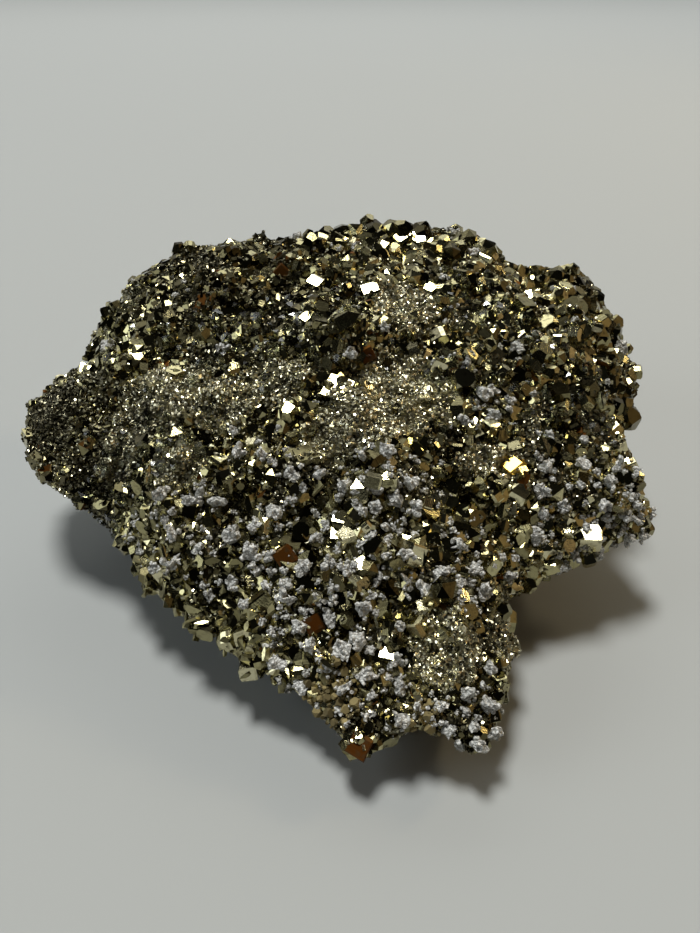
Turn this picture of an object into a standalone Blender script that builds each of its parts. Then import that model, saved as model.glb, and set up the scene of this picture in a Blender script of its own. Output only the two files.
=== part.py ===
"""Pyrite cluster: a thick plate of intergrown crystals on a broken granular base, resting on that base.

Metres, +Z up. The origin is under the middle of the piece, on the surface it rests on.
"""
import math
import random

import bmesh
import bpy
import numpy as np
from mathutils import Euler, Matrix, Vector, noise
from mathutils.bvhtree import BVHTree

NAME = "pyrite_cluster"
MM = 0.001
SEED = 20

# The rim, seen from above: x, y and height in millimetres, counter-clockwise from the right tip.
RIM = (
    (67, -19, 20), (63, -5, 26), (69, 6, 30), (72, 20, 34), (70, 36, 38),
    (68, 49, 41), (60, 53, 42), (48, 47, 43), (43, 58, 43), (37, 65, 43),
    (24, 64, 43), (10, 65, 43), (-1, 65, 43), (-11, 60, 42), (-23, 64, 42),
    (-35, 61, 41), (-46, 61, 40), (-55, 53, 38), (-56, 43, 36), (-62, 35, 33),
    (-61, 26, 30), (-69, 18, 27), (-72, 9, 25), (-70, 0, 23), (-64, -9, 21),
    (-56, -15, 20), (-48, -16, 18), (-45, -21, 16), (-37, -31, 14), (-29, -39, 12),
    (-18, -46, 11), (-9, -52, 10), (-2, -57, 9), (6, -66, 6), (12, -63, 7),
    (14, -58, 9), (18, -61, 9), (24, -65, 8), (29, -62, 8), (34, -50, 11),
    (34, -44, 12), (36, -36, 13), (46, -30, 14), (56, -25, 15), (64, -23, 17),
)

CRYSTAL_REACH = 1.3     # the rock's rim lies this far inside, because crystals stand out of it
RIM_RAGGED = 1.5        # how far the rim wanders in and out
RIM_RAGGED_SPACING = 0.1    # over how much of the way around, in radians

# The upper surface: a plate that climbs from the front to a ridge near the back, in millimetres.
CENTRE_HEIGHT = 40.5
CLIMB = 0.33            # rise for each millimetre towards the back
TILT = 0.04             # rise for each millimetre to the right
FRONT_FALL = 0.0027     # how much steeper the front slope gets
SIDE_FALL = 0.0020      # how the plate falls away to both sides
RIDGE_Y = 46            # the crest of the ridge
BACK_FALL = 0.045       # how it falls behind the crest
RIM_THICKNESS = 6.5     # the least rise from the rim to the surface behind it

# Mounds (height over 0) and hollows (under 0): x, y, height, radius along x, radius along y, in millimetres.
RELIEF = (
    (10, -18, 3.5, 11, 8),      # middle mound of fine crystals
    (-35, 1, 2.0, 9, 7),        # mound at the left
    (-11, -2, 2.0, 8, 6),       # mound between them
    (17, 18, 2.0, 9, 8),        # mound under the ridge
    (22, -53, 3.0, 7, 7),       # foot at the right
    (6, -60, 2.0, 5, 6),        # foot at the left
    (-62, 4, 1.0, 9, 10),       # left lobe
    (-52, 48, -3.0, 10, 10),    # back left corner
    (-48, -12, -6.0, 3.5, 6),   # groove beside the left lobe, front
    (-44, -3, -6.5, 5, 4),      # groove beside the left lobe, back
    (-3, -30, -4.0, 4, 4),      # hollow at the front
    (-17, -30, -3.0, 5, 4),     # hollow beside it
    (23, -23, -4.0, 5, 4),      # hollow right of the middle mound
    (30, -42, -4.0, 4, 6),      # hollow beside the right foot
    (14, -55, -3.0, 3, 6),      # notch between the two feet
    (48, 42, -5.0, 4, 9),       # nick in the ridge
    (-25, 30, 2.5, 10, 9),      # lump on the ridge's left side
    (50, 15, 2.5, 10, 12),      # right shoulder
)

# The underside: a flat broken base, and a broken face from it up to the rim.
BASE_CENTRE = (1, -4)
BASE_RADII = (42, 42)
BASE_RAGGED = 0.3                   # how far the base's outline wanders, as a share of its radius
BASE_LEVEL = 0.6                    # what is lower than this is flattened onto the base
BASE_LARGEST = 0.8                  # the most of the rim's radius that the base takes up
BASE_LATITUDE = math.radians(26)    # where on the starting sphere the base begins
UNDERCUT = 0.85                     # below 1: the broken face leans outwards as it rises

KNOB = 3.2              # height of the knobs that the crystals grow in
KNOB_SPACING = 15
LUMP = 1.6              # height of the rock's own softer lumps
LUMP_SPACING = 9
SHOULDER_POWER = 5          # how squarely the upper side turns down to the rim
LUMPS_BELOW = 4             # scales the lumps on the broken face, whose bell curve peaks at a quarter
SPHERE_SUBDIVISIONS = 5     # 5 gives the icosphere 2,562 vertices
PLATE_DETAIL = 0.30         # share of the plate's triangles that are kept

# Crystals that stand out of the plate.
CRYSTALS = 178
RIM_CRYSTALS = 48       # those that stand on the rim's face
CRYSTAL_MIN = 4.2       # edge to edge
CRYSTAL_MAX = 7.2
CRYSTAL_SMALL = 5.2     # the largest on the rim and in front of FRONT_Y
FRONT_Y = -35
CRYSTAL_GAP = 0.42      # how close two crystals may sit, in crystal sizes
CRYSTAL_SINK = 0.20     # how deep a crystal's middle lies in the plate, in crystal sizes
RAY_REACH = 120         # rays that look for a place start this far out, in millimetres
TRIES = 8000            # places looked at, at most
CUBE_SHARE = 0.55       # of every hundred crystals, 55 are cubes
TWENTY_FACED_SHARE = 0.33   # and 33 have twenty faces; the rest are pyritohedra

# The crystals' own proportions, as shares of their size.
CUBE_EDGE = 0.78
TWELVE_FACED_CORE = 0.8     # edge of the cube inside a pyritohedron
ROOF_HEIGHT = 1.5           # how far its roof edges stand out, in half edges of that cube
ROOF_LENGTH = 0.75          # half the length of a roof edge, in the same measure

# Areas of fine crystals, where no large one stands: x, y, radius along x, radius along y.
FINE_LEVEL = 0.45       # how far out an area reaches: 1 would be its middle alone
FINE_AREAS = (
    (10, -18, 11, 8),
    (-35, 1, 9, 7),
    (-11, -2, 7, 5),
    (17, 18, 9, 7),
    (22, -53, 6, 6),
    (-61, 4, 12, 14),
)


def bake_modifiers(obj):
    """Turns what the object's modifiers make into its own mesh."""
    depsgraph = bpy.context.evaluated_depsgraph_get()
    mesh = bpy.data.meshes.new_from_object(obj.evaluated_get(depsgraph))
    obj.modifiers.clear()
    obj.data = mesh


def rim_tables():
    """Angle, radius and height of the rim, sorted by angle."""
    rows = sorted((math.atan2(y, x), math.hypot(x, y) - CRYSTAL_REACH, z) for x, y, z in RIM)
    return np.array(rows).T


def smooth_noise(x, y, z, spacing, seed):
    """Noise from -1 to 1 that changes over about one spacing."""
    return noise.noise(Vector((x / spacing + seed, y / spacing - seed, z / spacing + 2 * seed)))


def knob(x, y, z):
    """Rounded knobs with creases between them, from about -1 to 1."""
    distances, _ = noise.voronoi(Vector((x, y, z)) / KNOB_SPACING + Vector((SEED, 0, 0)))
    return 1 - 4 * distances[0] ** 2


def top_height(x, y):
    """Height of the upper surface away from the rim, in millimetres."""
    height = CENTRE_HEIGHT + CLIMB * y + TILT * x - SIDE_FALL * x * x
    height -= FRONT_FALL * min(y, 0) ** 2
    height -= BACK_FALL * max(y - RIDGE_Y, 0) ** 2
    for cx, cy, rise, rx, ry in RELIEF:
        height += rise * math.exp(-((x - cx) / rx) ** 2 - ((y - cy) / ry) ** 2)
    return height


def base_share(angle, radius):
    """How far out the flat base reaches, as a share of the rim's radius."""
    rx, ry = BASE_RADII
    reach = 1 / math.hypot(math.cos(angle) / rx, math.sin(angle) / ry)
    reach *= 1 + BASE_RAGGED * noise.noise(Vector((3 * math.cos(angle), 3 * math.sin(angle), SEED)))
    return min(reach / radius, BASE_LARGEST)


def shape_point(direction, rim):
    """Where a point of the starting sphere goes on the plate, in millimetres."""
    angles, radii, heights = rim
    angle = math.atan2(direction.y, direction.x)
    radius = float(np.interp(angle, angles, radii, period=2 * math.pi))
    radius += RIM_RAGGED * smooth_noise(math.cos(angle), math.sin(angle), 0, RIM_RAGGED_SPACING, SEED)
    edge = float(np.interp(angle, angles, heights, period=2 * math.pi))
    latitude = math.asin(max(-1, min(1, direction.z)))
    if latitude >= 0:
        share = math.cos(latitude)
        x = share * radius * math.cos(angle)
        y = share * radius * math.sin(angle)
        shoulder = math.sqrt(max(0, 1 - share ** SHOULDER_POWER))
        z = edge + max(top_height(x, y) - edge, RIM_THICKNESS) * shoulder
        lump = shoulder
    else:
        down = min(-latitude / BASE_LATITUDE, 1)
        inner = base_share(angle, radius)
        share = 1 - (1 - inner) * down
        if down == 1:
            share = inner * (math.pi / 2 + latitude) / (math.pi / 2 - BASE_LATITUDE)
        x = share * radius * math.cos(angle) + (1 - share) * BASE_CENTRE[0]
        y = share * radius * math.sin(angle) + (1 - share) * BASE_CENTRE[1]
        z = edge * (1 - down) ** UNDERCUT
        lump = LUMPS_BELOW * down * (1 - down)
    offset = LUMP * lump * smooth_noise(x, y, z, LUMP_SPACING, SEED)
    offset += KNOB * lump * max(knob(x, y, z), -1)
    return Vector((x, y, z + math.copysign(offset, latitude)))


def new_object(name, mesh, collection):
    obj = bpy.data.objects.new(name, mesh)
    collection.objects.link(obj)
    return obj


def plate_mesh():
    """The rock plate under the crystals, as one closed surface."""
    rim = rim_tables()
    bm = bmesh.new()
    bmesh.ops.create_icosphere(bm, subdivisions=SPHERE_SUBDIVISIONS, radius=1)
    for vert in bm.verts:
        vert.co = shape_point(vert.co.copy(), rim) * MM
    mesh = bpy.data.meshes.new("plate")
    bm.to_mesh(mesh)
    bm.free()
    return mesh


def flatten_base(mesh):
    """Makes the base one flat face: what lies just over Z = 0, or under it, is brought onto it."""
    bm = bmesh.new()
    bm.from_mesh(mesh)
    for vert in bm.verts:
        if vert.co.z < BASE_LEVEL * MM:
            vert.co.z = 0
    flat = [f for f in bm.faces if all(v.co.z == 0 for v in f.verts)]
    edges = list({e for f in flat for e in f.edges})
    verts = list({v for f in flat for v in f.verts})
    bmesh.ops.dissolve_limit(bm, angle_limit=math.radians(0.1), verts=verts, edges=edges)
    bmesh.ops.recalc_face_normals(bm, faces=bm.faces)
    bm.to_mesh(mesh)
    bm.free()


def add_cube(bm, size, place):
    bmesh.ops.create_cube(bm, size=size * CUBE_EDGE, matrix=place)


def add_twenty_faced(bm, size, place):
    """The twenty-faced form that pyrite takes between a pyritohedron and an octahedron."""
    bmesh.ops.create_icosphere(bm, subdivisions=1, radius=size / 2, matrix=place)


def add_pyritohedron(bm, size, place):
    """Twelve five-sided faces: a cube whose faces are each roofed by one pair of planes."""
    half = size / 2 * TWELVE_FACED_CORE
    roof = half * ROOF_HEIGHT
    narrow = half * ROOF_LENGTH
    corners = [Vector((x, y, z)) * half for x in (-1, 1) for y in (-1, 1) for z in (-1, 1)]
    for a in (-1, 1):
        for b in (-1, 1):
            corners.append(Vector((0, a * narrow, b * roof)))
            corners.append(Vector((b * roof, 0, a * narrow)))
            corners.append(Vector((a * narrow, b * roof, 0)))
    verts = [bm.verts.new(place @ corner) for corner in corners]
    hull = bmesh.ops.convex_hull(bm, input=verts)
    faces = [g for g in hull["geom"] if isinstance(g, bmesh.types.BMFace)]
    edges = list({e for f in faces for e in f.edges})
    bmesh.ops.dissolve_limit(bm, angle_limit=math.radians(1), verts=verts, edges=edges)


def in_fine_area(x, y):
    inside = sum(math.exp(-((x - cx) / rx) ** 2 - ((y - cy) / ry) ** 2) for cx, cy, rx, ry in FINE_AREAS)
    return inside > FINE_LEVEL


def upper_ray(rng):
    """A ray straight down onto the plate, away from the fine areas."""
    while True:
        x = rng.uniform(-RAY_REACH, RAY_REACH)
        y = rng.uniform(-RAY_REACH, RAY_REACH)
        if not in_fine_area(x, y):
            return Vector((x, y, RAY_REACH)), Vector((0, 0, -1))


def rim_ray(rng, rim):
    """A level ray at the rim's face, towards the middle."""
    angles, _, heights = rim
    angle = rng.uniform(-math.pi, math.pi)
    height = float(np.interp(angle, angles, heights, period=2 * math.pi)) + rng.uniform(0, RIM_THICKNESS / 2)
    outward = Vector((math.cos(angle), math.sin(angle), 0))
    return outward * RAY_REACH + Vector((0, 0, height)), -outward


def crystal_places(plate, rng):
    """Where crystals stand on the plate: a point, the way the rock faces there, and a size."""
    tree = BVHTree.FromPolygons([v.co for v in plate.vertices], [p.vertices for p in plate.polygons])
    rim = rim_tables()
    taken = []
    for _ in range(TRIES):
        if len(taken) >= CRYSTALS + RIM_CRYSTALS:
            break
        on_rim = len(taken) < RIM_CRYSTALS
        start, way = rim_ray(rng, rim) if on_rim else upper_ray(rng)
        point, normal, _, _ = tree.ray_cast(start * MM, way)
        if point is None:
            continue
        small = on_rim or point.y < FRONT_Y * MM
        size = rng.uniform(CRYSTAL_MIN, CRYSTAL_SMALL if small else CRYSTAL_MAX)
        if all((point - other).length > CRYSTAL_GAP * (size + far) * MM for other, _, far in taken):
            taken.append((point, normal, size))
    return taken


def crystals_mesh(plate):
    """All the large crystals, each closed, overlapping the plate and some of their neighbours."""
    rng = random.Random(SEED)
    bm = bmesh.new()
    for point, normal, size in crystal_places(plate, rng):
        turn = Euler([rng.uniform(-math.pi, math.pi) for _ in range(3)]).to_matrix().to_4x4()
        place = Matrix.Translation(point - normal * CRYSTAL_SINK * size * MM) @ turn
        kind = rng.random()
        if kind < CUBE_SHARE:
            add_cube(bm, size * MM, place)
        elif kind < CUBE_SHARE + TWENTY_FACED_SHARE:
            add_twenty_faced(bm, size * MM, place)
        else:
            add_pyritohedron(bm, size * MM, place)
    mesh = bpy.data.meshes.new("crystals")
    bm.to_mesh(mesh)
    bm.free()
    return mesh


def keep_outer_surface(mesh):
    """Drops any pocket that the crystals close off inside, and rests the piece on Z = 0 under its middle."""
    bm = bmesh.new()
    bm.from_mesh(mesh)
    seen = set()
    shells = []
    for start in bm.faces:
        if start in seen:
            continue
        shell = []
        stack = [start]
        seen.add(start)
        while stack:
            face = stack.pop()
            shell.append(face)
            for edge in face.edges:
                for other in edge.link_faces:
                    if other not in seen:
                        seen.add(other)
                        stack.append(other)
        shells.append(shell)
    shells.sort(key=len)
    inner = [face for shell in shells[:-1] for face in shell]
    bmesh.ops.delete(bm, geom=inner, context="FACES")
    low = [min(v.co[i] for v in bm.verts) for i in range(3)]
    high = [max(v.co[i] for v in bm.verts) for i in range(3)]
    middle = Vector(((low[0] + high[0]) / 2, (low[1] + high[1]) / 2, 0))
    bmesh.ops.translate(bm, verts=bm.verts, vec=-middle)
    bmesh.ops.triangulate(bm, faces=bm.faces)
    bm.to_mesh(mesh)
    bm.free()


def pyrite_material():
    material = bpy.data.materials.new("pyrite")
    material.use_nodes = True
    shader = material.node_tree.nodes["Principled BSDF"]
    shader.inputs["Base Color"].default_value = (0.42, 0.36, 0.22, 1)
    shader.inputs["Metallic"].default_value = 0.9
    shader.inputs["Roughness"].default_value = 0.3
    return material


def build():
    for obj in list(bpy.data.objects):
        bpy.data.objects.remove(obj)
    parts = bpy.data.collections.new("pyrite_specimen")
    tools = bpy.data.collections.new("crystals_to_join")
    bpy.context.scene.collection.children.link(parts)
    bpy.context.scene.collection.children.link(tools)

    cluster = new_object(NAME, plate_mesh(), parts)
    thin = cluster.modifiers.new("fewer_triangles", "DECIMATE")
    thin.ratio = PLATE_DETAIL
    bake_modifiers(cluster)
    flatten_base(cluster.data)
    crystals = new_object("crystals", crystals_mesh(cluster.data), tools)
    crystals.hide_render = True
    crystals.display_type = "WIRE"

    join = cluster.modifiers.new("join_crystals", "BOOLEAN")
    join.operation = "UNION"
    join.solver = "EXACT"
    join.use_self = True
    join.object = crystals
    bake_modifiers(cluster)
    bpy.data.objects.remove(crystals)
    keep_outer_surface(cluster.data)
    cluster.data.materials.clear()
    cluster.data.materials.append(pyrite_material())


build()
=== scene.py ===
import math

import bmesh
import bpy
import numpy as np
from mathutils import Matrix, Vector, noise


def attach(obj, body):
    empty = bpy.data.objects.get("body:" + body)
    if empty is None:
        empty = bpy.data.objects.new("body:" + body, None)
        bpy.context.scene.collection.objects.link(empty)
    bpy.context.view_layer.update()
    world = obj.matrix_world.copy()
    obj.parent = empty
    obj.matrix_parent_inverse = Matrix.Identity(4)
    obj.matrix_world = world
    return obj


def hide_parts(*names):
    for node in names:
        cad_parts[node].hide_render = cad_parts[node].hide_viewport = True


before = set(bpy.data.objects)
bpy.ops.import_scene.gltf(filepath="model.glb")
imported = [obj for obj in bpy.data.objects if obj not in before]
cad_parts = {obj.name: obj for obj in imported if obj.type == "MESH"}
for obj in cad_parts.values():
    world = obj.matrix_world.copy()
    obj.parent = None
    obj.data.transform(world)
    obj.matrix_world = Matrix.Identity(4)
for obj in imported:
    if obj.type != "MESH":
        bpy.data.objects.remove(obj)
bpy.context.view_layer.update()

MM = 0.001

# ---------------------------------------------------------------------------------------------
# The rock: one thick plate of massive, granular pyrite that carries all the crystals, grown as one
# and broken off underneath. Its surface is the solid's own with its large crystals, made finer
# between them and worked into grains.

ROCK_EDGE = 1.7 * MM            # the longest edge left between the large crystals
BROKEN_EDGE = 1.25 * MM         # the same on the broken underside
ROUNDS = 6                      # how often the edges are halved at most
UNDERSIDE = -0.3                # a face whose direction points lower than this is on the underside
BROKEN_FROM = -0.2              # the broken relief starts where the surface points lower than this
BROKEN_SPACING = 6.5 * MM       # the underside's broken faces: how wide and how deep they are
BROKEN_DEPTH = 1.7 * MM
BROKEN_SEED = 5                 # without a seed their borders are drawn anew in each run
BROKEN_TILT = 1.3               # how steep they are, as a rise over their width
BROKEN_WAVER = 0.35             # how much their borders waver
FACET_TURN = math.radians(30)   # a crystal's face ends where the surface turns by more than this
FACET_FLAT = math.cos(math.radians(2))  # and it is flat to within this
FACET_LARGEST = 34 * MM ** 2    # a flat patch above this is rock
GRAIN_HEIGHT = 0.55 * MM        # the lumps in the rock's surface
GRAIN_SPACING = 2.6 * MM
GRAIN_SIZE = 0.5 * MM           # the finest grains, which are in the material alone
GRAIN_TURN = 0.85               # how far they turn away from the surface's own direction
# Where the rock lies lower, under crystals that stand above it, in millimetres: x, y, the two radii
# and how much lower.
SUNK_AREAS = ((-60, 27, 9, 14, 2.6), (-36, 40, 9, 14, 2.6), (-17, 43, 8, 15, 3.8), (-2, 43, 6, 12, 1.8),
              (22, 43, 7, 14, 2.8), (49, 46, 6, 18, 6.0), (57, 44, 5, 15, 2.4), (69, 26, 5, 14, 2.8))
SUNK_WAY = (0, -0.6, -0.8)
SUNK_FROM = 15                  # at heights under this, in millimetres, it lies less low


class Sum:
    """A node's output that can be used in sums: each sum adds its Math node to the same material."""

    def __init__(self, tree, socket=None):
        self.tree = tree
        self.socket = socket

    def node(self, kind, settings=(), inputs=(), take=0):
        """Any other node: its settings go first, then its sockets' values or links."""
        made = self.tree.nodes.new(kind)
        for key, value in dict(settings).items():
            if key == "stops":
                ramp = made.color_ramp.elements
                while len(ramp) < len(value):
                    ramp.new(0.5)
                for element, (position, colour) in zip(ramp, value):
                    element.position, element.color = position, colour
            else:
                setattr(made, key, value)
        for key, value in dict(inputs).items():
            if isinstance(value, Sum):
                self.tree.links.new(value.socket, made.inputs[key])
            else:
                made.inputs[key].default_value = value
        return Sum(self.tree, made.outputs[take])

    def maths(self, operation, *values, clamp=False):
        settings = {"operation": operation, "use_clamp": clamp}
        return self.node("ShaderNodeMath", settings, dict(enumerate(values)))

    def __add__(self, other):
        return self.maths("ADD", self, other)

    def __sub__(self, other):
        return self.maths("SUBTRACT", self, other)

    def __rsub__(self, other):
        return self.maths("SUBTRACT", other, self)

    def __mul__(self, other):
        return self.maths("MULTIPLY", self, other)

    def __pow__(self, other):
        return self.maths("POWER", self, other)

    __radd__ = __add__
    __rmul__ = __mul__

    def between(self, low, high):
        """0 below low, 1 above high, and an even rise between them."""
        return self.maths("MULTIPLY", self - low, 1 / (high - low), clamp=True)

    def blend(self, first, second):
        """A colour from first to second as this goes from 0 to 1."""
        return self.node("ShaderNodeMix", {"data_type": "RGBA"}, {0: self, 6: first, 7: second}, 2)


def new_material(name):
    """A material with a Principled shader. Returns it, a start for its sums, and its shader."""
    material = bpy.data.materials.new(name)
    material.use_nodes = True
    return material, Sum(material.node_tree), material.node_tree.nodes["Principled BSDF"]


def plug(shader, name, value):
    """Links a sum to one of the shader's sockets."""
    shader.id_data.links.new(value.socket, shader.inputs[name])


def sink(points):
    """The points moved to where the rock's surface is once those areas lie lower."""
    x, y, z = (points / MM).T
    depth = np.zeros(len(points))
    for middle_x, middle_y, along, across, deepest in SUNK_AREAS:
        away = ((x - middle_x) / along) ** 2 + ((y - middle_y) / across) ** 2
        depth = np.maximum(depth, deepest * np.exp(-away))
    return points + np.outer(depth * np.clip(z / SUNK_FROM, 0, 1), SUNK_WAY) * MM


rock = bpy.data.objects.new("rock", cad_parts["pyrite_cluster"].data.copy())
bpy.context.scene.collection.objects.link(rock)
bm = bmesh.new()
bm.from_mesh(rock.data)
bmesh.ops.remove_doubles(bm, verts=bm.verts, dist=1e-6)
bm.normal_update()

# Flat patches with sharp edges all round are faces of large crystals.
facet_layer = bm.faces.layers.float.new("facet")
tone_layer = bm.faces.layers.float.new("tone")
facet_of = {}
facet_areas = []
for first in bm.faces:
    if first in facet_of:
        continue
    number = len(facet_areas)
    facet_of[first] = number
    waiting = [first]
    area = 0
    while waiting:
        face = waiting.pop()
        area += face.calc_area()
        if face.normal.dot(first.normal) < FACET_FLAT:
            area += FACET_LARGEST
        for edge in face.edges:
            if len(edge.link_faces) == 2 and edge.calc_face_angle(0) < FACET_TURN:
                for other in edge.link_faces:
                    if other not in facet_of:
                        facet_of[other] = number
                        waiting.append(other)
    facet_areas.append(area)
facet_tones = np.random.default_rng(3).random(len(facet_areas))
crystal_faces = set()
for face, number in facet_of.items():
    face[tone_layer] = facet_tones[number]
    if facet_areas[number] < FACET_LARGEST and face.normal.z > UNDERSIDE:
        face[facet_layer] = 1
        crystal_faces.add(face)

for vert, place in zip(bm.verts, sink(np.array([v.co for v in bm.verts]))):
    vert.co = place
bm.normal_update()

# The surface's own triangles, kept to place the small crystals on.
bm.verts.index_update()
skin_points = np.array([v.co for v in bm.verts])
skin_faces = np.array([[v.index for v in f.verts] for f in bm.faces])
skin_is_crystal = np.array([f in crystal_faces for f in bm.faces])

for _ in range(ROUNDS):
    long_edges = [e for e in bm.edges
                  if e.calc_length() > (BROKEN_EDGE if e.verts[0].normal.z < UNDERSIDE else ROCK_EDGE)
                  and e.verts[0].co.z + e.verts[1].co.z > MM
                  and not any(f[facet_layer] > 0.5 for f in e.link_faces)]
    if not long_edges:
        break
    bmesh.ops.subdivide_edges(bm, edges=long_edges, cuts=1, use_grid_fill=True)
bmesh.ops.triangulate(bm, faces=bm.faces)
bm.normal_update()
noise.seed_set(BROKEN_SEED)
moves = {}
for vert in bm.verts:
    if any(f[facet_layer] > 0.5 for f in vert.link_faces):
        continue
    spot = vert.co / GRAIN_SPACING
    cell = noise.voronoi(spot)[0][0]
    fine = noise.noise(spot * 2.3)
    push = GRAIN_HEIGHT * (0.5 * fine - cell)
    if vert.normal.z < BROKEN_FROM and vert.co.z > 0.5 * MM:
        spot = vert.co / BROKEN_SPACING
        middle = noise.voronoi(spot + BROKEN_WAVER * noise.noise_vector(spot * 2.2))[1][0]
        tilt = (spot - middle).dot(noise.cell_vector(middle * 9) * BROKEN_TILT)
        fade = min((BROKEN_FROM - vert.normal.z) * 5, 1)
        push -= BROKEN_DEPTH * min(max(0.45 + tilt + 0.25 * fine, 0), 1) * fade
    moves[vert] = vert.normal * push
for vert, move in moves.items():
    vert.co += move
    vert.co.z = max(vert.co.z, 0)
bm.to_mesh(rock.data)
bm.free()


def scratches(start, place, along, across):
    """Fine parallel ridges, as crystal faces have: noise drawn out along one direction."""
    ways = {0: place, 1: (across, along, along)}
    stretched = start.node("ShaderNodeVectorMath", {"operation": "MULTIPLY"}, ways)
    return start.node("ShaderNodeTexNoise", (),
                      {"Vector": stretched, "Scale": 1, "Detail": 2, "Roughness": 0.6})


def bump(start, height, strength, distance):
    return start.node("ShaderNodeBump", (),
                      {"Height": height, "Strength": strength, "Distance": distance})


def granular(name, attribute):
    """Pyrite as a crust of grains under half a millimetre, each facing its own way. The attribute
    goes from 0, dark and dull, to 1, golden."""
    material, start, shader = new_material(name)
    tone = start.node("ShaderNodeAttribute", {"attribute_name": attribute}, take=2)
    place = start.node("ShaderNodeTexCoord", take=3)
    grain = start.node("ShaderNodeTexVoronoi", (), {"Vector": place, "Scale": 1 / GRAIN_SIZE}, take=1)
    luck = start.node("ShaderNodeSeparateColor", (), {"Color": grain}, take=2)
    dark = luck.blend((0.020, 0.017, 0.009, 1), (0.16, 0.14, 0.078, 1))
    gold = luck.blend((0.60, 0.54, 0.32, 1), (1.0, 0.96, 0.74, 1))
    plug(shader, "Base Color", tone.blend(dark, gold))
    shader.inputs["Metallic"].default_value = 1
    plug(shader, "Roughness", 0.5 - 0.33 * luck)
    facing = start.node("ShaderNodeNewGeometry", take=1)
    spread = {"operation": "MULTIPLY_ADD"}, {0: grain, 1: (2 * GRAIN_TURN,) * 3, 2: facing}
    turned = start.node("ShaderNodeVectorMath", *spread)
    centred = start.node("ShaderNodeVectorMath", {"operation": "SUBTRACT"},
                         {0: turned, 1: (GRAIN_TURN,) * 3})
    plug(shader, "Normal", start.node("ShaderNodeVectorMath", {"operation": "NORMALIZE"}, {0: centred}))
    return material


def near(areas, spots):
    """How far inside any of the areas each spot lies, from 0 to 1: (x, y, radius, radius) in mm."""
    inside = np.zeros(len(spots))
    for x, y, along, across in areas:
        away = ((spots[:, 0] / MM - x) / along) ** 2 + ((spots[:, 1] / MM - y) / across) ** 2
        inside = np.maximum(inside, np.exp(-away))
    return inside


# The groove beside the left lobe, where the tones are darkened as painted shade, and the mounds of
# fine golden pyrite: x, y and the two radii of each area, in millimetres.
SHADED_CREASE_AREAS = ((-42, -5, 6, 3.5), (-51, -9, 3, 4), (-38, -9, 4, 2))
DRUSE_AREAS = ((9, -12, 12, 7), (18, -6, 9, 7), (0, -17, 7, 4), (-36, -2, 11, 7), (-12, -2, 8, 4.5),
               (-22, -6, 8, 5), (16, 16, 8, 7), (20, -51, 6.5, 6), (32, -48, 4, 5), (13, 1, 7, 4.5),
               (31, -19, 7, 4), (-31, -17, 7, 4.5), (-44, -10, 5, 6))
PATCHES = 9 * MM                # golden patches on the underside: how wide they are
BROWN_TONE = 0.045              # faces up to this tone are brown
LEAST_TONE = 0.055              # the darkest tone that isn't brown
RIDGE_HEIGHT = 0.07 * MM        # the fine parallel ridges on crystal faces


def pyrite(name, roughest):
    """Pyrite crystals. The tone of each face picks its colour, from brown through dark grey
    and olive to pale brass, and also how rough and how ridged it is."""
    material, start, shader = new_material(name)
    tone = start.node("ShaderNodeAttribute", {"attribute_name": "tone"}, take=2)
    place = start.node("ShaderNodeAttribute", {"attribute_name": "own_place"}, take=1)
    luck = start.maths("FRACT", tone * 37.7)
    stops = [(0.0, (0.105, 0.034, 0.006, 1)), (BROWN_TONE, (0.14, 0.060, 0.012, 1)),
             (LEAST_TONE, (0.10, 0.087, 0.043, 1)), (0.35, (0.31, 0.28, 0.145, 1)),
             (0.65, (0.47, 0.43, 0.23, 1)), (1.0, (0.70, 0.65, 0.43, 1))]
    colour = start.node("ShaderNodeValToRGB", {"stops": stops}, {"Fac": tone})
    stain = start.node("ShaderNodeTexNoise", (), {"Vector": place, "Scale": 900, "Detail": 3})
    stained = (stain.between(0.5, 0.7) * 0.6).blend(colour, (0.07, 0.055, 0.03, 1))
    ridges = scratches(start, place, 250, 3200)
    etching = start.node("ShaderNodeTexNoise", (),
                         {"Vector": place, "Scale": 2600, "Detail": 3, "Roughness": 0.65})
    plug(shader, "Base Color", stained)
    shader.inputs["Metallic"].default_value = 1
    brown = 1 - tone.between(BROWN_TONE, LEAST_TONE)
    polish = 0.05 + roughest * luck ** 2 + 0.08 * stain.between(0.4, 0.8)
    plug(shader, "Roughness", polish + 0.48 * brown)
    relief = ridges * (0.4 + luck.between(0.6, 0.75)) + 0.35 * etching
    plug(shader, "Normal", bump(start, relief, 0.5, RIDGE_HEIGHT))
    return material


rock.data.materials.clear()
rock.data.materials.append(granular("granular_pyrite", "golden"))
rock.data.materials.append(pyrite("large_pyrite", 0.3))
flags = np.zeros(len(rock.data.polygons), np.float32)
rock.data.attributes["facet"].data.foreach_get("value", flags)
rock.data.polygons.foreach_set("material_index", (flags > 0.5).astype(np.int32))
places = np.zeros(3 * len(rock.data.vertices), np.float32)
rock.data.vertices.foreach_get("co", places)
own_place = rock.data.attributes.new("own_place", "FLOAT_VECTOR", "POINT")
own_place.data.foreach_set("vector", places)
places = places.reshape(-1, 3)
# Golden on the mounds, and darker in the groove beside the left lobe: painted shade.
golden = np.clip(near(DRUSE_AREAS, places) * 2.5 - 0.5 - near(SHADED_CREASE_AREAS, places), 0.05, 0.9)
under = np.zeros(3 * len(places), np.float32)
rock.data.vertices.foreach_get("normal", under)
under = np.clip(-4 * under.reshape(-1, 3)[:, 2] - 0.8, 0, 1)
patches = np.array([noise.noise(Vector(place) / PATCHES) for place in places])
golden = (golden + under * (np.clip(0.22 + 0.5 * patches, 0.04, 0.6) - golden)).astype(np.float32)
rock.data.attributes.new("golden", "FLOAT", "POINT").data.foreach_set("value", golden)
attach(rock, "root")
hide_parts("pyrite_cluster")

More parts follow.
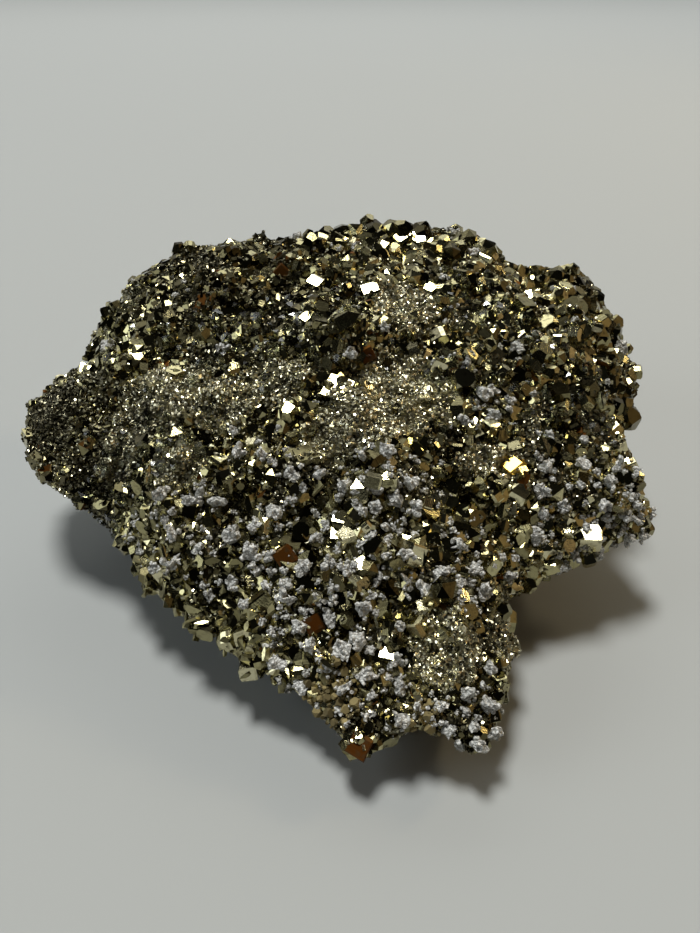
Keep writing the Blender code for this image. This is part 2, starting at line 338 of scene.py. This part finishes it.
# ---------------------------------------------------------------------------------------------
# The pyrite crystals that cover the upper side and the rim: cubes and twelve-faced ones, many with
# their corners cut, 1 to 6 mm across. They grew into each other, with their lower parts in the
# rock, and are larger along the ridge and at the right.

CUBE_WAYS = [Vector(v) for v in ((1, 0, 0), (-1, 0, 0), (0, 1, 0), (0, -1, 0), (0, 0, 1), (0, 0, -1))]
ROOF_WAYS = [Vector(v).normalized() for a in (-1, 1) for b in (-2, 2)
             for v in ((b, a, 0), (0, b, a), (a, 0, b))]
CORNER_WAYS = [Vector((a, b, c)).normalized() for a in (-1, 1) for b in (-1, 1) for c in (-1, 1)]
UNEVEN = 0.09                   # how unevenly a crystal's faces grow
CUBE_SIZE = 4                   # the block that a shape is cut from, in units of its own
MAP_MARGIN = 0.07               # the gap round each face in its bake map
TONE_SPREAD = 0.08              # how much the faces of one crystal differ in tone
DARKEST = 0.056                 # the darkest tone of a face that isn't brown
BROWN_SHARE = 0.003             # the share of crystal faces that are brown

chance = np.random.default_rng(11)


def cut_shape(cuts):
    """A crystal cut from a block by flat faces: (directions, distance from the middle) pairs."""
    bm = bmesh.new()
    bmesh.ops.create_cube(bm, size=CUBE_SIZE)
    for ways, distance in cuts:
        for way in ways:
            everything = bm.verts[:] + bm.edges[:] + bm.faces[:]
            reach = distance * (1 + UNEVEN * chance.uniform(-1, 1))
            cut = bmesh.ops.bisect_plane(bm, geom=everything, dist=1e-5, plane_co=way * reach,
                                         plane_no=way, clear_outer=True)
            rim = [g for g in cut["geom_cut"] if isinstance(g, bmesh.types.BMEdge)]
            if rim:
                bmesh.ops.contextual_create(bm, geom=rim)
    bmesh.ops.recalc_face_normals(bm, faces=bm.faces)
    return bm


class Shape:
    """A small shape as arrays, 1 across, ready to be copied many times."""

    def __init__(self, bm):
        bm.verts.index_update()
        points = np.array([v.co for v in bm.verts])
        self.points = points / (2 * np.linalg.norm(points, axis=1).max())
        self.corners = np.array([v.index for f in bm.faces for v in f.verts])
        self.counts = np.array([len(f.verts) for f in bm.faces])
        across = math.ceil(math.sqrt(len(bm.faces)))
        flat = []
        for number, face in enumerate(bm.faces):
            turn = face.normal.rotation_difference(Vector((0, 0, 1))).to_matrix()
            outline = np.array([(turn @ v.co)[:2] for v in face.verts])
            outline -= outline.min(0)
            outline *= (1 - 2 * MAP_MARGIN) / outline.max()
            flat.append((outline + MAP_MARGIN + (number % across, number // across)) / across)
        self.flat = np.concatenate(flat)
        bm.free()


def standing(ways):
    """Rotations, as 3 by 3 matrices, that stand shapes along the given directions with any spin."""
    up = ways / np.linalg.norm(ways, axis=1, keepdims=True)
    side = np.cross(chance.normal(size=up.shape), up)
    side /= np.linalg.norm(side, axis=1, keepdims=True)
    return np.stack([side, np.cross(up, side), up], axis=2)


def any_turns(count):
    return standing(chance.normal(size=(count, 3)))


def copies(name, shapes, spots, sizes, tones, turns, stretch=None, browns=0.0):
    """One mesh object made of a copy of one of the shapes at each spot. browns is the share of its
    faces that are brown."""
    kinds = chance.integers(len(shapes), size=len(spots))
    grid = math.ceil(math.sqrt(len(spots)))
    parts = {key: [] for key in ("points", "own", "corners", "counts", "tones", "flat")}
    offset = 0
    for kind, shape in enumerate(shapes):
        mine = np.flatnonzero(kinds == kind)
        if not len(mine):
            continue
        small = shape.points[None] * sizes[mine, None, None]
        if stretch is not None:
            small = small * stretch[mine, None, :]
        placed = np.einsum("nij,nvj->nvi", turns[mine], small) + spots[mine, None]
        shift = offset + np.arange(len(mine))[:, None] * len(shape.points)
        cell = np.stack([mine % grid, mine // grid], 1)
        faces = (len(mine), len(shape.counts))
        face_tones = tones[mine, None] + TONE_SPREAD * chance.uniform(-1, 1, faces)
        face_tones = np.clip(face_tones, DARKEST, 1)
        is_brown = chance.random(faces) < browns
        face_tones = np.where(is_brown, BROWN_TONE * chance.random(faces), face_tones)
        parts["points"].append(placed.reshape(-1, 3))
        parts["own"].append((small + tones[mine, None, None]).reshape(-1, 3))
        parts["corners"].append((shape.corners[None] + shift).ravel())
        parts["counts"].append(np.tile(shape.counts, len(mine)))
        parts["tones"].append(face_tones.ravel())
        parts["flat"].append(((shape.flat[None] + cell[:, None]) / grid).reshape(-1, 2))
        offset += len(mine) * len(shape.points)
    made = {key: np.concatenate(value) for key, value in parts.items()}
    mesh = bpy.data.meshes.new(name)
    mesh.vertices.add(len(made["points"]))
    mesh.vertices.foreach_set("co", made["points"].astype(np.float32).ravel())
    mesh.loops.add(len(made["corners"]))
    mesh.loops.foreach_set("vertex_index", made["corners"].astype(np.int32))
    mesh.polygons.add(len(made["counts"]))
    starts = np.concatenate([[0], np.cumsum(made["counts"])[:-1]])
    mesh.polygons.foreach_set("loop_start", starts.astype(np.int32))
    mesh.update(calc_edges=True)
    mesh.shade_flat()
    tone = mesh.attributes.new("tone", "FLOAT", "FACE")
    tone.data.foreach_set("value", made["tones"].astype(np.float32))
    own = mesh.attributes.new("own_place", "FLOAT_VECTOR", "POINT")
    own.data.foreach_set("vector", made["own"].astype(np.float32).ravel())
    mesh.uv_layers.new(name="OFBake").data.foreach_set("uv", made["flat"].astype(np.float32).ravel())
    obj = bpy.data.objects.new(name, mesh)
    bpy.context.scene.collection.objects.link(obj)
    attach(obj, "root")
    return obj


corner_a, corner_b, corner_c = (skin_points[skin_faces[:, i]] for i in range(3))
skin_normals = np.cross(corner_b - corner_a, corner_c - corner_a)
skin_areas = np.linalg.norm(skin_normals, axis=1) / 2
skin_normals /= 2 * skin_areas[:, None]
skin_middles = (corner_a + corner_b + corner_c) / 3
NEIGHBOURS = [(x, y, z) for x in (0, -1, 1) for y in (0, -1, 1) for z in (0, -1, 1)]


def scatter(tries, wanted, size_at, gap, bare=0.0):
    """Spots on the surface, thinned so that pieces keep a share of their size apart, the largest
    first. wanted gives each spot's chance and size_at its size. bare is the share of the spots on
    large crystals' faces that stay empty."""
    weights = skin_areas * (wanted(skin_middles, skin_normals) + 0.01)
    faces = chance.choice(len(skin_areas), size=tries, p=weights / weights.sum())
    u, v = chance.random((2, tries))
    fold = u + v > 1
    u[fold], v[fold] = 1 - u[fold], 1 - v[fold]
    spots = corner_a[faces] + u[:, None] * (corner_b - corner_a)[faces]
    spots = spots + v[:, None] * (corner_c - corner_a)[faces]
    normals = skin_normals[faces]
    keep = chance.random(tries) * weights[faces] / skin_areas[faces] < wanted(spots, normals)
    keep &= ~(skin_is_crystal[faces] & (chance.random(tries) < bare))
    spots, normals = spots[keep], normals[keep]
    sizes = size_at(spots)
    cell = sizes.max()
    boxes = {}
    taken = []
    for i in np.argsort(-sizes):
        home = tuple(np.floor(spots[i] / cell).astype(int))
        clear = True
        for dx, dy, dz in NEIGHBOURS:
            for x, y, z, size in boxes.get((home[0] + dx, home[1] + dy, home[2] + dz), ()):
                reach = gap * (sizes[i] + size) / 2
                apart = (spots[i][0] - x) ** 2 + (spots[i][1] - y) ** 2 + (spots[i][2] - z) ** 2
                if apart < reach * reach:
                    clear = False
                    break
            if not clear:
                break
        if clear:
            boxes.setdefault(home, []).append((*spots[i], sizes[i]))
            taken.append(i)
    taken = np.array(taken)
    return spots[taken], normals[taken], sizes[taken]


# Where the surface changes, in millimetres: x, y and the two radii of each area.
LOBE_AREA = ((-62, 2, 13, 13), (-51, -15, 10, 8))
KNOB_AREAS = ((4, 54, 12, 6), (25, 54, 16, 8), (62, 38, 9, 10))
RIDGE_AREAS = ((-40, 47, 14, 9), (-8, 52, 22, 8), (22, 54, 20, 8), (62, 38, 9, 12), (67, 12, 6, 18))
# Where the tones are darker: painted shade in the hollows, creases and shaded parts, and the darker
# stone of the left lobe.
SHADE_AND_DARK_STONE_AREAS = ((-62, 2, 14, 13), (-51, -15, 9, 7), (-16, 23, 27, 14), (-18, -25, 5, 4), (-4, -27, 4, 3),
              (23, -18, 5, 4), (29, -48, 5, 6), (-49, -9, 3, 7), (-33, 27, 14, 10), (-24, 38, 22, 9),
              (-41, -5, 5, 3), (-21, -36, 5, 4), (50, -10, 7, 5), (4, -61, 7, 4), (23, -62, 7, 4))
COARSE_AREAS = ((20, 46, 40, 14), (55, 20, 18, 30), (45, 0, 16, 14), (10, -34, 20, 11))
TIP_AREAS = ((4, -61, 9, 6), (22, -61, 8, 6), (63, -19, 7, 9))

# How large the crystals are, in millimetres: the middle size, its spread, the least and the
# greatest, and what each kind of area adds to the middle size.
CRYSTAL_SIZE = 1.85, 0.34, 0.9, 5.4
SIZE_CHANGES = ((COARSE_AREAS, 0.45), (KNOB_AREAS, 1.9), (LOBE_AREA, -0.85), (TIP_AREAS, -0.6),
                (SHADE_AND_DARK_STONE_AREAS, -0.4))
CRYSTAL_PATCHES = 9 * MM        # how wide the patches are where no crystals grew
LEFT_PATCHES = 13 * MM          # and the patches of crystals left on the underside
CRYSTAL_GAP = 0.56              # the distance they keep, as a share of their size
CRYSTAL_SINK = 0.27             # how far they are sunk in the rock, as a share of their size
LARGE_FROM = 2.0 * MM           # smaller ones have simpler shapes
SHADE_AND_STONE_DARKNESS = 0.85               # how much darker the tones are there: painted shade, and the lobe's darker stone
RIDGE_PAINTED_SHADE = 0.72              # and along the ridge: painted shade that stands in for the dark room its crystals mirror


def mixed(spots, low, high):
    """Tones between the two, darker with painted shade in the shaded areas and along the ridge, and on
    the left lobe's darker stone.
    """
    shade = np.maximum(SHADE_AND_STONE_DARKNESS * near(SHADE_AND_DARK_STONE_AREAS, spots), RIDGE_PAINTED_SHADE * near(RIDGE_AREAS, spots))
    return (low + (high - low) * chance.random(len(spots)) ** 1.15) * (1 - shade)


def patchy(spots, spacing, seed):
    """Soft patches, from 0 to 1, about one spacing across."""
    aside = Vector((seed, 0, 0))
    return np.array([0.5 + 0.9 * noise.noise(Vector(spot) / spacing + aside) for spot in spots])


def upper(spots, normals):
    """1 on the upper side and the rim, and 0 underneath, apart from patches of crystals left there."""
    left = np.clip((patchy(spots, LEFT_PATCHES, 8) - 0.5) * 3, -0.1, 0.75) * (spots[:, 2] > 3 * MM)
    return np.clip((normals[:, 2] + 0.35) / 0.2 + 0.9 * left, 0, 1)


def crystal_chance(spots, normals):
    fine = np.maximum(near(DRUSE_AREAS, spots) > 0.40, 0.75 * (near(LOBE_AREA, spots) > 0.35))
    return upper(spots, normals) * (1 - 0.99 * fine) * (patchy(spots, CRYSTAL_PATCHES, 5) > 0.22)


def grown(size, changes=()):
    """What gives each spot's size in metres, from a middle size, its spread, and the least and the
    greatest in millimetres."""
    middle, spread, least, most = size

    def size_at(spots):
        here = sum((change * near(areas, spots) for areas, change in changes), middle)
        return np.clip(here * chance.lognormal(0, spread, len(spots)), least, most) * MM
    return size_at


spots, normals, sizes = scatter(90000, crystal_chance, grown(CRYSTAL_SIZE, SIZE_CHANGES),
                                CRYSTAL_GAP, 0.8)
spots -= normals * sizes[:, None] * CRYSTAL_SINK
beneath = np.clip(-3 * normals[:, 2], 0, 1)
sizes = sizes * (1.25 - 0.2 * near(KNOB_AREAS, spots)) * (1 - 0.35 * beneath)
# Crystals that face downwards get tones up to half as light: painted shade under the rim.
tones = mixed(spots, 0.08, 1.0) * (1 - 0.5 * beneath)
on_ridge = (near(RIDGE_AREAS, spots) > 0.35) & (sizes >= LARGE_FROM)
for name, mine, cuts in (
        ("ridge_crystals", on_ridge,
         ([(ROOF_WAYS, 1.0)], [(ROOF_WAYS, 1.0), (CORNER_WAYS, 1.05)],
          [(ROOF_WAYS, 1.0), (CUBE_WAYS, 1.0)],
          [(ROOF_WAYS, 1.0), (CUBE_WAYS, 1.06), (CORNER_WAYS, 1.1)])),
        ("large_crystals", ~on_ridge & (sizes >= LARGE_FROM),
         ([(ROOF_WAYS, 1.0)], [(ROOF_WAYS, 1.0), (CORNER_WAYS, 1.12)],
          [(CUBE_WAYS, 1.0), (ROOF_WAYS, 1.2)],
          [(CUBE_WAYS, 1.0), (CORNER_WAYS, 1.5)], [(CUBE_WAYS, 1.0), (CORNER_WAYS, 1.2)],
          [(ROOF_WAYS, 1.0), (CUBE_WAYS, 1.02)], [(CUBE_WAYS, 1.0), (ROOF_WAYS, 1.1)])),
        ("small_crystals", sizes < LARGE_FROM,
         ([(ROOF_WAYS, 1.0)], [(CUBE_WAYS, 1.0), (CORNER_WAYS, 1.5)], [(CUBE_WAYS, 1.0)]))):
    crystals = copies(name, [Shape(cut_shape(cut)) for cut in cuts for _ in range(2)], spots[mine],
                      sizes[mine], tones[mine], any_turns(mine.sum()), browns=BROWN_SHARE)
    crystals.data.materials.append(pyrite(name + "_pyrite", 0.22))

# ---------------------------------------------------------------------------------------------
# The crystals that catch the eye, set one by one: bright ones that mirror the overhead light, brown
# ones and a golden one. They are cut cubes, 3 to 5 mm across, and sit in the rock
# as the others do.

LAMP_WAY = Vector((-0.12, 0.26, 0.81))          # from the piece to the overhead light
EYE_PLACE = Vector((0.0038, -0.1272, 0.117))    # where the piece is looked at from
# x, y, z and size of each, in millimetres.
BRIGHT_CRYSTALS = ((-4.2, 26.3, 51, 4.0), (16.9, 44.5, 56.3, 4.4), (21.4, 47.9, 55.6, 4.8),
                   (45.4, 29.5, 47.7, 4.2), (1.8, -30.5, 28.8, 3.0), (1.2, -32.7, 27, 3.2),
                   (10.5, -51.2, 15.8, 3.6), (8.3, 19.7, 51.8, 4.6))
BROWN_CRYSTALS = ((-8.1, -36.3, 24.7, 4.8), (-2.7, -46.6, 18.3, 4.2), (5.3, -64.0, 8.4, 5.0),
                  (-12.4, 33.7, 52.2, 4.2), (7.4, 3.1, 44.9, 4.2), (43.1, 2, 40.8, 4.2),
                  (20.7, -44.1, 21.5, 3.6))
GOLD_CRYSTALS = ((35.6, -19.2, 32.5, 4.2),)
CORNER_REACH = 1.3              # a cut cube from corner to corner, in its own widths
SET_DEPTH = 0.1                 # how far each is pushed in, as a share of its reach

gold_pyrite, start, shader = new_material("gold_pyrite")
shader.inputs["Base Color"].default_value = (0.88, 0.58, 0.12, 1)
shader.inputs["Metallic"].default_value = 1
shader.inputs["Roughness"].default_value = 0.4
# lean is 1 for a crystal turned halfway to the light, and near 0 for one that faces the eye.
for name, places, material, tone, lean, browns in (
        ("bright_crystals", BRIGHT_CRYSTALS, pyrite("bright_crystals_pyrite", 0.1), 0.95, 1.0, 0.0),
        ("brown_crystals", BROWN_CRYSTALS, pyrite("brown_crystals_pyrite", 0.1), 0.02, 0.1, 1.0),
        ("gold_crystals", GOLD_CRYSTALS, gold_pyrite, 0.7, 1.0, 0.0)):
    table = np.array(places)
    spots = sink(table[:, :3] * MM)
    to_eye = np.array(EYE_PLACE) - spots
    ways = to_eye / np.linalg.norm(to_eye, axis=1, keepdims=True)
    ways = ways + lean * np.array(LAMP_WAY.normalized())
    ways /= np.linalg.norm(ways, axis=1, keepdims=True)
    sizes = table[:, 3] * MM * CORNER_REACH
    best = copies(name, [Shape(cut_shape([(CUBE_WAYS, 1.0), (ROOF_WAYS, 1.25)]))],
                  spots - ways * sizes[:, None] * SET_DEPTH, sizes, np.full(len(spots), tone),
                  standing(ways), browns=browns)
    best.data.materials.append(material)

# ---------------------------------------------------------------------------------------------
# Druse: pyrite cubes under a millimetre that grew as a crust, golden where they cover the mounds by
# themselves, darker on the left lobe, and with painted shade in the gaps between the larger crystals.

# Painted light where the golden crust's mounds catch it: x, y and the two radii of each, in
# millimetres.
PAINTED_LIGHT_DRUSE = ((20, -51, 8, 7), (14, -1, 9, 5), (16, 15, 8, 6), (-33, 0, 6, 4))
WAVE_WIDTH = 2.2 * MM           # the golden crust's waves: how wide and how high they are
WAVE_HEIGHT = 1.1 * MM


def golden_chance(spots, normals):
    return upper(spots, normals) * np.clip((near(DRUSE_AREAS, spots) - 0.35) * 8, 0, 1)


grain_shapes = [Shape(cut_shape([(CUBE_WAYS, 1.0)])) for _ in range(4)]
spots, normals, sizes = scatter(40000, golden_chance, grown((0.66, 0.28, 0.35, 1.2)), 0.68)
waves = np.clip(patchy(spots, WAVE_WIDTH, 3), 0, 1)
# Painted light raises the tones on the mounds that catch the light, and painted shade lowers them in
# the hollows and the groove.
golden_tones = 0.1 + 0.9 * waves + 0.3 * chance.random(len(spots)) + 0.35 * near(PAINTED_LIGHT_DRUSE, spots)
golden_tones *= 1 - np.maximum(0.6 * near(SHADE_AND_DARK_STONE_AREAS, spots), 0.85 * near(SHADED_CREASE_AREAS, spots))
golden_druse = copies("golden_druse", grain_shapes,
                      spots + normals * (WAVE_HEIGHT * (waves - 0.45))[:, None], sizes * 1.4,
                      golden_tones, any_turns(len(spots)))
golden_druse.data.materials.append(granular("golden_pyrite", "tone"))


def dark_grain_chance(spots, normals):
    return upper(spots, normals) * np.clip(0.35 + 2 * near(LOBE_AREA, spots), 0, 1)


spots, normals, sizes = scatter(42000, dark_grain_chance,
                                grown((0.85, 0.25, 0.45, 1.5), ((LOBE_AREA, -0.25),)), 0.8, 0.9)
# Their darker tones are painted shade in the gaps, hollows and along the ridge.
dark_grains = copies("dark_grains", grain_shapes, spots, sizes * 1.3,
                     mixed(spots, 0.12, 0.75), any_turns(len(spots)))
dark_grains.data.materials.append(granular("dark_pyrite", "tone"))

# ---------------------------------------------------------------------------------------------
# Calcite: dull white to grey nodules of 1 to 4 mm that grew between the crystals of the front slope,
# each a rough lump with small grains on it.

NODULE_ROUGH = 0.8              # how uneven a lump is
GRAINS_EACH = 7                 # the small grains on each nodule
WHITE_AREAS = ((-13, -30, 14, 9), (2, -43, 12, 10), (16, -37, 11, 9), (-7, -48, 9, 7), (-34, -29, 8, 7),
               (52, -22, 10, 6), (28, -8, 7, 5), (4, -21, 8, 5), (13, -57, 5, 4), (24, -61, 6, 4),
               (-3, -55, 6, 4))
CROWDED_AREAS = ((24, -60, 5, 4), (17, -59, 4, 3), (3, -54, 5, 4), (-32, -27, 5, 4), (10, -30, 6, 5),
                 (-5, -42, 5, 4), (57, -22, 6, 4), (6, -59, 3, 2))
FLANK_AREAS = ((-43, -25, 12, 8), (-31, -36, 12, 8), (-19, -46, 12, 8), (-8, -54, 8, 8))
WHITE_PATCHES = 5.5 * MM        # how wide the patches of nodules are


def lump_shape(number, divisions=2):
    """A rough lump."""
    bm = bmesh.new()
    bmesh.ops.create_icosphere(bm, subdivisions=divisions, radius=1)
    for vert in bm.verts:
        spot = vert.co * 1.3 + Vector((number * 9.1, 0, 0))
        vert.co *= 1 + NODULE_ROUGH * (noise.noise(spot) + 0.4 * noise.noise(spot * 3.1))
    return bm


def flank(spots, normals):
    """From 0 to 1 on the steep part of the front left flank."""
    steep = np.clip((0.84 - normals[:, 2]) * 5, 0, 1)
    return steep * np.clip((near(FLANK_AREAS, spots) - 0.25) * 3, 0, 1)


def white_chance(spots, normals):
    keep_off = np.maximum(near(DRUSE_AREAS, spots), near(LOBE_AREA, spots)) > 0.3
    patches = np.clip(patchy(spots, WHITE_PATCHES, 2) - 0.3, 0, 1)
    white = 2.1 * near(WHITE_AREAS, spots) * patches + 0.004
    white = white * (1 - 0.7 * near(SHADE_AND_DARK_STONE_AREAS, spots)) + 0.5 * near(CROWDED_AREAS, spots)
    white = np.minimum(white, 1)
    white *= 1 - 0.85 * flank(spots, normals)
    return upper(spots, normals) * np.where(keep_off, 0, white)


spots, normals, sizes = scatter(4200, white_chance, grown((1.75, 0.5, 0.6, 4.0)), 0.85, 0.7)
spots += normals * (sizes * chance.uniform(0.1, 0.4, len(spots)))[:, None]
nodules = copies("calcite_nodules", [Shape(lump_shape(number)) for number in range(6)], spots, sizes,
                 chance.random(len(spots)), any_turns(len(spots)),
                 chance.uniform(0.45, 1.3, (len(spots), 3)))
spots, normals, sizes = (np.repeat(a, GRAINS_EACH, axis=0) for a in (spots, normals, sizes))
aside = chance.normal(size=spots.shape)
aside += normals * np.clip(-1.3 * (aside * normals).sum(1), 0, None)[:, None]
aside /= np.linalg.norm(aside, axis=1, keepdims=True)
blocks = [Shape(cut_shape([(CUBE_WAYS, 1.0), (CORNER_WAYS, 1.3)])) for _ in range(4)]
small_grains = copies("calcite_grains", blocks + [Shape(lump_shape(number, 1)) for number in (9, 10)],
                      spots + aside * (sizes * chance.uniform(0.2, 0.46, len(spots)))[:, None],
                      sizes * chance.uniform(0.14, 0.46, len(spots)), chance.random(len(spots)),
                      any_turns(len(spots)), chance.uniform(0.6, 1.3, (len(spots), 3)))
calcite, start, shader = new_material("calcite")
tone = start.node("ShaderNodeAttribute", {"attribute_name": "tone"}, take=2)
place = start.node("ShaderNodeTexCoord", take=3)
sugar = start.node("ShaderNodeTexNoise", (),
                   {"Vector": place, "Scale": 700, "Detail": 5, "Roughness": 0.75})
cracks = start.node("ShaderNodeTexVoronoi", (), {"Vector": place, "Scale": 1900})
# Painted shade: the cracks between the grains and the pits in them are coloured near black.
crack_and_pit_shade = start.maths("MAXIMUM", cracks.between(0.48, 0.65) * 0.6, sugar.between(0.55, 0.64) * 0.9)
pale = tone.blend((0.66, 0.66, 0.63, 1), (1.0, 0.99, 0.95, 1))
plug(shader, "Base Color", crack_and_pit_shade.blend(pale, (0.07, 0.06, 0.04, 1)))
shader.inputs["Roughness"].default_value = 0.33
plug(shader, "Normal", bump(start, sugar - cracks, 1.0, 0.35 * MM))
for piece in (nodules, small_grains):
    piece.data.materials.append(calcite)

# ---------------------------------------------------------------------------------------------
# Platy pyrite on the front left flank: thin pale plates, 1.5 to 5 mm long, that lie over each other
# like shingles. They have a grey-green cast.

def flank_chance(spots, normals):
    return upper(spots, normals) * np.clip(flank(spots, normals) * 1.5, 0, 1)


spots, normals, sizes = scatter(5000, flank_chance, grown((2.0, 0.3, 1.0, 3.4)), 0.6)
plates = copies("plates", [Shape(cut_shape([(CUBE_WAYS, 1.0), (CORNER_WAYS, 1.3)])) for _ in range(4)],
                spots, sizes * 1.5, mixed(spots, 0.25, 0.75),
                standing(normals + 0.45 * chance.normal(size=normals.shape)),
                np.array([1.0, 0.62, 0.24]) * chance.uniform(0.8, 1.2, (len(spots), 3)))
plates.data.materials.append(pyrite("platy_pyrite", 0.5))

# ---------------------------------------------------------------------------------------------
# Quartz: grey-green glassy grains of 1 to 3 mm that grew in loose groups between the crystals, away
# from the ridge.

GLASS_AREAS = ((-15, 10, 14, 8), (50, 6, 10, 9), (-38, -12, 8, 6), (30, -4, 6, 5), (0, 8, 8, 5),
               (33, 20, 8, 6))


def glass_chance(spots, normals):
    return upper(spots, normals) * near(GLASS_AREAS, spots) * (near(RIDGE_AREAS, spots) < 0.3)


spots, normals, sizes = scatter(1600, glass_chance, grown((1.7, 0.25, 1.0, 2.8)), 1.15)
glass_shapes = [Shape(cut_shape([(CORNER_WAYS, 1.0), (ROOF_WAYS, 0.95)])) for _ in range(4)]
quartz_grains = copies("quartz", glass_shapes,
                       spots + normals * sizes[:, None] * 0.12, sizes * 1.2, chance.random(len(spots)),
                       any_turns(len(spots)), chance.uniform(0.7, 1.3, (len(spots), 3)))
quartz, start, shader = new_material("quartz")
shader.inputs["Base Color"].default_value = (0.80, 0.84, 0.76, 1)
shader.inputs["Roughness"].default_value = 0.12
shader.inputs["IOR"].default_value = 1.54
shader.inputs["Transmission Weight"].default_value = 1
quartz_grains.data.materials.append(quartz)

# ---------------------------------------------------------------------------------------------
# Limonite: rust that weathered out of the pyrite, as an earthy ochre crust of crumbs of about 1 mm
# near the two front tips.

OCHRE_AREAS = ((0, -57, 6, 5), (17, -60, 3, 2), (28, -13, 2, 2))
CRUST_DEPTH = 0.9 * MM


def ochre_chance(spots, normals):
    return upper(spots, normals) * np.clip(near(OCHRE_AREAS, spots) - 0.2, 0, 1)


spots, normals, sizes = scatter(3500, ochre_chance, grown((0.62, 0.4, 0.35, 1.6)), 0.85)
crumbs = copies("limonite", blocks,
                spots + normals * (CRUST_DEPTH * chance.random(len(spots)))[:, None], sizes * 1.4,
                chance.random(len(spots)), any_turns(len(spots)))
limonite, start, shader = new_material("limonite")
tone = start.node("ShaderNodeAttribute", {"attribute_name": "tone"}, take=2)
plug(shader, "Base Color", tone.blend((0.09, 0.07, 0.028, 1), (0.38, 0.30, 0.13, 1)))
shader.inputs["Roughness"].default_value = 0.9
crumbs.data.materials.append(limonite)

# ---------------------------------------------------------------------------------------------
# The floor, the lights and the camera. They aren't part of the piece.

FLOOR_REACH = 4                 # metres from the middle to each edge
bm = bmesh.new()
bmesh.ops.create_grid(bm, x_segments=1, y_segments=1, size=FLOOR_REACH)
floor_mesh = bpy.data.meshes.new("floor")
bm.to_mesh(floor_mesh)
bm.free()
floor = bpy.data.objects.new("floor", floor_mesh)
bpy.context.scene.collection.objects.link(floor)
pale_floor, start, shader = new_material("pale_floor")
shader.inputs["Base Color"].default_value = (0.44, 0.455, 0.45, 1)
shader.inputs["Roughness"].default_value = 0.8
floor.data.materials.append(pale_floor)

# The room is dark, so that facets that mirror it are black. Only what is seen past the floor's
# edge is pale.
world = bpy.data.worlds.new("room")
world.use_nodes = True
start = Sum(world.node_tree)
seen = start.node("ShaderNodeLightPath")
room = seen.blend((0.007, 0.0073, 0.007, 1), (0.41, 0.415, 0.395, 1))
world.node_tree.links.new(room.socket, world.node_tree.nodes["Background"].inputs["Color"])
bpy.context.scene.world = world


def soft_light(name, place, aim, width, height, watts, colour):
    """A flat light that isn't seen itself."""
    light = bpy.data.lights.new(name, "AREA")
    light.shape = "RECTANGLE"
    light.size = width
    light.size_y = height
    light.energy = watts
    light.color = colour
    obj = bpy.data.objects.new(name, light)
    obj.location = place
    obj.rotation_euler = (Vector(aim) - Vector(place)).to_track_quat("-Z", "Y").to_euler()
    obj.visible_camera = False
    bpy.context.scene.collection.objects.link(obj)


overhead = bpy.data.lights.new("overhead", "SUN")
overhead.energy = 2.45
overhead.angle = math.radians(15)
overhead.color = (0.985, 0.99, 0.96)
sun = bpy.data.objects.new("overhead", overhead)
sun.rotation_euler = LAMP_WAY.to_track_quat("Z", "Y").to_euler()
bpy.context.scene.collection.objects.link(sun)
soft_light("window", (-0.9, -0.1, 0.5), (0, 0, 0.03), 0.5, 0.6, 2.0, (0.90, 0.97, 1.0))
soft_light("lamp", (0.7, 0.35, 0.55), (0, 0, 0.03), 0.12, 0.12, 1.0, (1.0, 0.80, 0.48))
soft_light("back_card", (0, 1.1, 0.75), (0, 0, 0.25), 2.4, 1.0, 3.2, (1.0, 0.99, 0.95))
soft_light("warm_card", (0.62, -0.1, 0.28), (0.05, -0.03, 0), 1.0, 0.5, 0.5, (1.0, 0.72, 0.40))
soft_light("far_side", (0, 2.2, 1.6), (0, 1.4, 0), 2.2, 0.8, 10, (0.98, 1.0, 0.97))

FOCAL_LENGTH = 27.0             # millimetres, as the sensor's width
SENSOR = 36.0
EYE_TILT = 38                   # degrees down from level
camera = bpy.data.objects.new("camera", bpy.data.cameras.new("camera"))
camera.data.lens = FOCAL_LENGTH
camera.data.sensor_width = SENSOR
camera.data.clip_start = 0.005
camera.location = EYE_PLACE
camera.rotation_euler = (math.radians(90 - EYE_TILT), 0, 0)
bpy.context.scene.collection.objects.link(camera)
bpy.context.scene.camera = camera
bpy.context.scene.view_settings.view_transform = "Standard"
